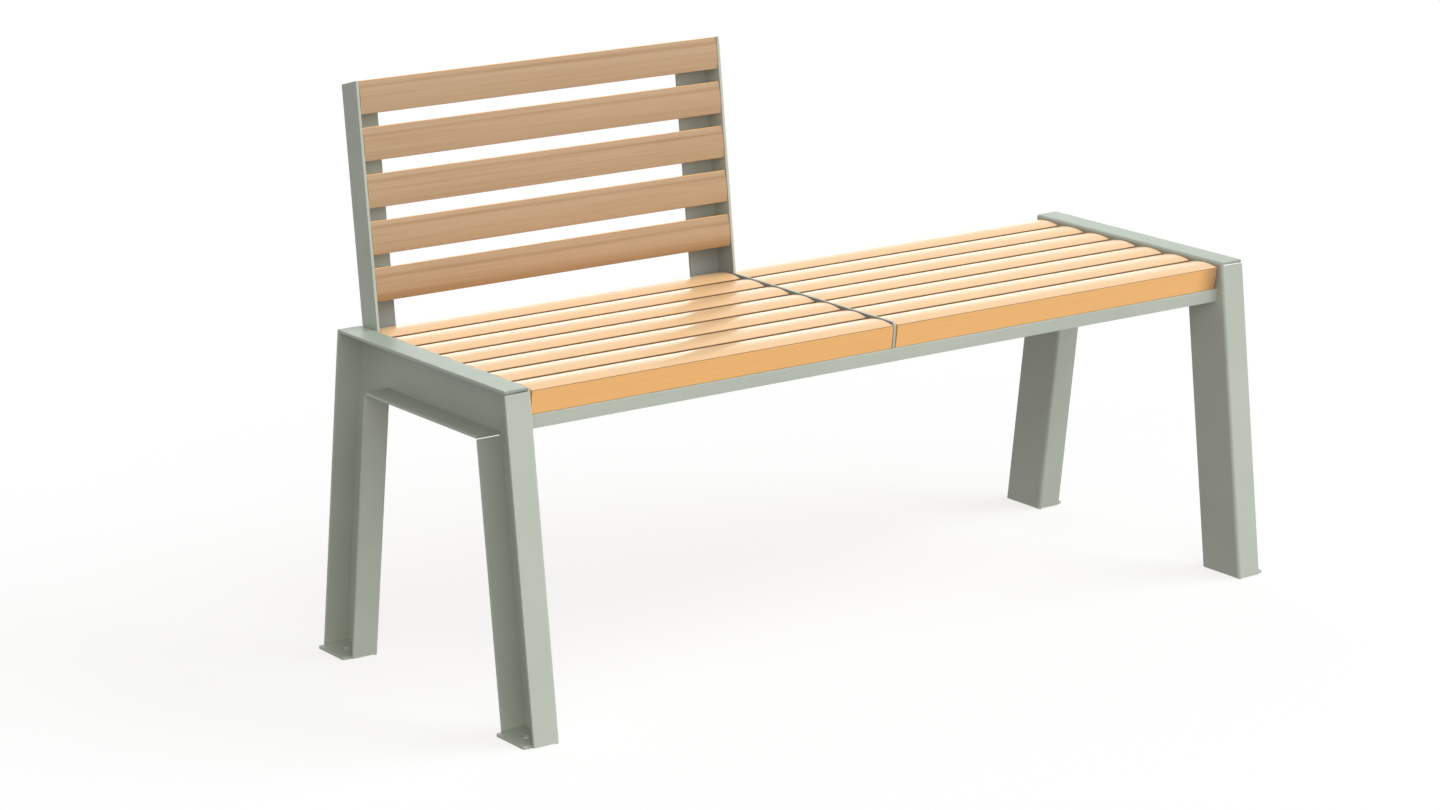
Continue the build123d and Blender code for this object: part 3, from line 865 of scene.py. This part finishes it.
def make_screws(node, name, head, rows, across, outwards, finish):
    """The heads of a group of screws, two to each row, in the place of their CAD node."""
    steel = bpy.context.scene.bench_steel
    base = reach(node, outwards)[1] - steel.screw_rise
    shape = bmesh.new()
    for row in rows:
        for step in (-steel.screw_spacing / 2, steel.screw_spacing / 2):
            origin = middle(node).x * ALONG + (row + step) * across + base * outwards
            first = len(shape.verts)
            shape.from_mesh(head)
            shape.verts.ensure_lookup_table()
            put(shape, shape.verts[first:], across, outwards.cross(across), outwards, origin)
    settle(shape, name, finish, node)


class BENCH_OT_end_frames(bpy.types.Operator):
    """Fold the two end frames from sheet"""

    bl_idname = "bench.end_frames"
    bl_label = "End Frames"

    def execute(self, context):
        finish = finish_named("powder_coat", coated_steel)
        for place, side in (("left", -1), ("right", 1)):
            make_end_frame(f"{place}_end_frame", f"{place}_frame_sheet", side, finish)
        return {"FINISHED"}


class BENCH_OT_rails(bpy.types.Operator):
    """Make the rails under the front and the rear of the seat"""

    bl_idname = "bench.rails"
    bl_label = "Rails"

    def execute(self, context):
        finish = finish_named("powder_coat", coated_steel)
        for place in ("front", "rear"):
            make_rail(f"{place}_rail", f"{place}_channel", finish)
        return {"FINISHED"}


class BENCH_OT_bearers(bpy.types.Operator):
    """Make the angles under the ends of the slats"""

    bl_idname = "bench.bearers"
    bl_label = "Bearers"

    def execute(self, context):
        finish = finish_named("powder_coat", coated_steel)
        for place, side in (("left_end", 1), ("centre_left", -1), ("centre_right", 1), ("right_end", -1)):
            make_bearer(f"{place}_bearer", f"{place}_angle", side, finish)
        return {"FINISHED"}


class BENCH_OT_divider(bpy.types.Operator):
    """Make the plate between the two halves of the seat"""

    bl_idname = "bench.divider"
    bl_label = "Divider"

    def execute(self, context):
        make_divider("centre_divider", "divider_plate", finish_named("powder_coat", coated_steel))
        return {"FINISHED"}


class BENCH_OT_uprights(bpy.types.Operator):
    """Make the two uprights of the backrest"""

    bl_idname = "bench.uprights"
    bl_label = "Uprights"

    def execute(self, context):
        finish = finish_named("powder_coat", coated_steel)
        for place, side in (("left", 1), ("right", -1)):
            make_upright(f"{place}_back_upright", f"{place}_upright_sheet", side, finish)
        return {"FINISHED"}


class BENCH_OT_welds(bpy.types.Operator):
    """Coat the weld beads"""

    bl_idname = "bench.welds"
    bl_label = "Welds"

    def execute(self, context):
        finish = finish_named("powder_coat", coated_steel)
        for node in ("rail_welds", "bearer_welds", "upright_welds"):
            coat_node(node, finish)
        return {"FINISHED"}


class BENCH_OT_screws(bpy.types.Operator):
    """Make the screws under the seat and behind the back"""

    bl_idname = "bench.screws"
    bl_label = "Screws"

    def execute(self, context):
        finish = finish_named("stainless_steel", bare_steel)
        head = screw_head()
        rows = [middle(f"seat_slat_left_{row}").y for row in range(1, SEAT_ROWS + 1)]
        for place in ("left_end", "centre_left", "centre_right", "right_end"):
            names = f"seat_screws_{place}", f"seat_heads_{place}"
            make_screws(*names, head, rows, REARWARDS, -UPWARDS, finish)
        rows = [sum(reach(f"back_slat_{row}", BACK_UP)) / 2 for row in range(1, BACK_ROWS + 1)]
        for place in ("left", "right"):
            names = f"back_screws_{place}", f"back_heads_{place}"
            make_screws(*names, head, rows, BACK_UP, -BACK_FRONT, finish)
        return {"FINISHED"}


# Stage
FLOOR_HALF = 30.0
CAMERA_PLACE = (-3.2426, -4.2317, 1.7127)
CAMERA_DIP = radians(14.915)
CAMERA_TURN = radians(-36.207)
CAMERA_LENS = 100.896
CAMERA_SENSOR = 36.0

# Where each lamp stands as seen from the bench, how wide it spreads, and its colour
LAMPS = {
    "front": (Vector((-0.2, -1.0, 0.15)), radians(60), (1.0, 0.98, 0.98)),
    "high": (Vector((-0.2, -1.0, 1.2)), radians(45), (0.98, 1.0, 1.0)),
    "right": (Vector((0.75, -0.43, 0.5)), radians(55), (1.0, 1.0, 1.0)),
    "left": (Vector((-0.9, -0.9, 0.3)), radians(50), (1.0, 0.91, 0.86)),
    "behind": (Vector((0.3, 1.0, 0.5)), radians(60), (1.0, 1.0, 1.0)),
    "rear": (Vector((0.545, 0.839, -0.158)), radians(30), (1.0, 1.0, 1.0)),
    "sheen": (Vector((0.545, 0.839, -0.364)), radians(80), (1.0, 1.0, 1.0)),
}
LAMPS_IN_GLOSS = ("rear", "sheen")
SHADE_TINT = (0.92, 1.0, 1.12)


def seen_directly(wire):
    """1 for rays that come from the camera, a mirror-like surface or glass, and otherwise 0."""
    kinds = ("Is Camera Ray", "Is Glossy Ray", "Is Transmission Ray")
    camera, glossy, through = [wire.node("ShaderNodeLightPath", output=kind) for kind in kinds]
    return wire.maths("MINIMUM", camera + glossy + through, 1.0)


def light_world(sky_light):
    """White where the camera sees it, and an even soft light on the bench."""
    world = bpy.data.worlds.new("white_room")
    world.use_nodes = True
    wire = Wire(world.node_tree)
    backdrop = world.node_tree.nodes["Background"]
    backdrop.inputs["Color"].default_value = (1, 1, 1, 1)
    seen = seen_directly(wire)
    wire.feed(backdrop.inputs["Strength"], sky_light + (1 - sky_light) * seen)
    bpy.context.scene.world = world


def add_sun(name, energy, source, spread, colour, in_gloss):
    """An even soft light from a far source, which may leave a bright spot on gloss."""
    lamp = bpy.data.lights.new(name, "SUN")
    lamp.energy = energy
    lamp.angle = spread
    lamp.color = colour
    sun = bpy.data.objects.new(name, lamp)
    sun.rotation_euler = source.to_track_quat("Z", "Y").to_euler()
    sun.visible_glossy = in_gloss
    bpy.context.scene.collection.objects.link(sun)


def white_floor(shade, bounce, lit):
    """A floor that looks white where all its light falls, keeps soft shadows and shows only from above."""
    finish = bpy.data.materials.new("white_floor")
    finish.use_nodes = True
    tree = finish.node_tree
    tree.nodes.remove(tree.nodes["Principled BSDF"])
    wire = Wire(tree)
    seen = seen_directly(wire)
    shades = [shade * share for share in SHADE_TINT]
    matt = wire.node("ShaderNodeBsdfDiffuse", None, {"Color": shades})
    glow = wire.node("ShaderNodeEmission", None, {"Color": [1 - level * lit for level in shades]})
    looks = wire.node("ShaderNodeAddShader", None, {0: matt, 1: glow})
    light = wire.node("ShaderNodeEmission", None, {"Strength": bounce})
    surface = wire.node("ShaderNodeMixShader", None, {0: seen, 1: light, 2: looks})
    below = wire.node("ShaderNodeNewGeometry", output="Backfacing")
    clear = wire.node("ShaderNodeBsdfTransparent")
    shown = wire.node("ShaderNodeMixShader", None, {0: below, 1: surface, 2: clear})
    wire.feed(tree.nodes["Material Output"].inputs["Surface"], shown)
    return finish


def lay_floor(finish):
    """A wide floor under the bench."""
    shape = bmesh.new()
    bmesh.ops.create_grid(shape, x_segments=1, y_segments=1, size=FLOOR_HALF)
    mesh = bpy.data.meshes.new("floor")
    shape.to_mesh(mesh)
    shape.free()
    mesh.materials.append(finish)
    floor = bpy.data.objects.new("floor", mesh)
    bpy.context.scene.collection.objects.link(floor)


def add_camera():
    """A camera that looks down at the bench from its front and left."""
    lens = bpy.data.cameras.new("camera")
    lens.sensor_fit = "HORIZONTAL"
    lens.sensor_width = CAMERA_SENSOR
    lens.lens = CAMERA_LENS
    camera = bpy.data.objects.new("camera", lens)
    camera.location = CAMERA_PLACE
    camera.rotation_euler = (pi / 2 - CAMERA_DIP, 0, CAMERA_TURN)
    bpy.context.scene.collection.objects.link(camera)
    bpy.context.scene.camera = camera


class BENCH_OT_stage(bpy.types.Operator):
    """Set up the floor, the light and the camera"""

    bl_idname = "bench.stage"
    bl_label = "Stage"

    def execute(self, context):
        stage = context.scene.bench_stage
        light_world(stage.sky)
        lit = stage.sky
        for name, (source, spread, colour) in LAMPS.items():
            strength = getattr(stage, name)
            lit += strength * max(source.normalized().z, 0) / pi
            add_sun(f"{name}_light", strength, source, spread, colour, name in LAMPS_IN_GLOSS)
        lay_floor(white_floor(stage.shade, stage.bounce, lit))
        add_camera()
        context.scene.view_settings.view_transform = "Standard"
        return {"FINISHED"}


class BENCH_PT_pieces(bpy.types.Panel):
    """Lists the pieces of the bench"""

    bl_idname = "BENCH_PT_pieces"
    bl_label = "Bench"
    bl_space_type = "VIEW_3D"
    bl_region_type = "UI"
    bl_category = "Bench"

    def draw(self, context):
        for operator in OPERATORS:
            self.layout.operator(operator.bl_idname)
        for group, kind in GROUPS.items():
            box = self.layout.box()
            for name in kind.__annotations__:
                box.prop(getattr(context.scene, group), name)


OPERATORS = (
    BENCH_OT_end_frames,
    BENCH_OT_rails,
    BENCH_OT_bearers,
    BENCH_OT_divider,
    BENCH_OT_uprights,
    BENCH_OT_welds,
    BENCH_OT_screws,
    BENCH_OT_seat_slats,
    BENCH_OT_back_slats,
    BENCH_OT_stage,
)
GROUPS = {"bench_timber": BenchTimber, "bench_steel": BenchSteel, "bench_stage": BenchStage}
CLASSES = (*GROUPS.values(), *OPERATORS, BENCH_PT_pieces)


def register():
    """Adds the classes, and their values to every scene."""
    for kind in CLASSES:
        bpy.utils.register_class(kind)
    for group, kind in GROUPS.items():
        setattr(bpy.types.Scene, group, PointerProperty(type=kind))


def unregister():
    """Takes away what register adds."""
    for group in GROUPS:
        delattr(bpy.types.Scene, group)
    for kind in reversed(CLASSES):
        bpy.utils.unregister_class(kind)


def main():
    """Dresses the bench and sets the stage."""
    register()
    bpy.ops.bench.end_frames()
    bpy.ops.bench.rails()
    bpy.ops.bench.bearers()
    bpy.ops.bench.divider()
    bpy.ops.bench.uprights()
    bpy.ops.bench.welds()
    bpy.ops.bench.screws()
    bpy.ops.bench.seat_slats()
    bpy.ops.bench.back_slats()
    bpy.ops.bench.stage()


if __name__ == "__main__":
    main()
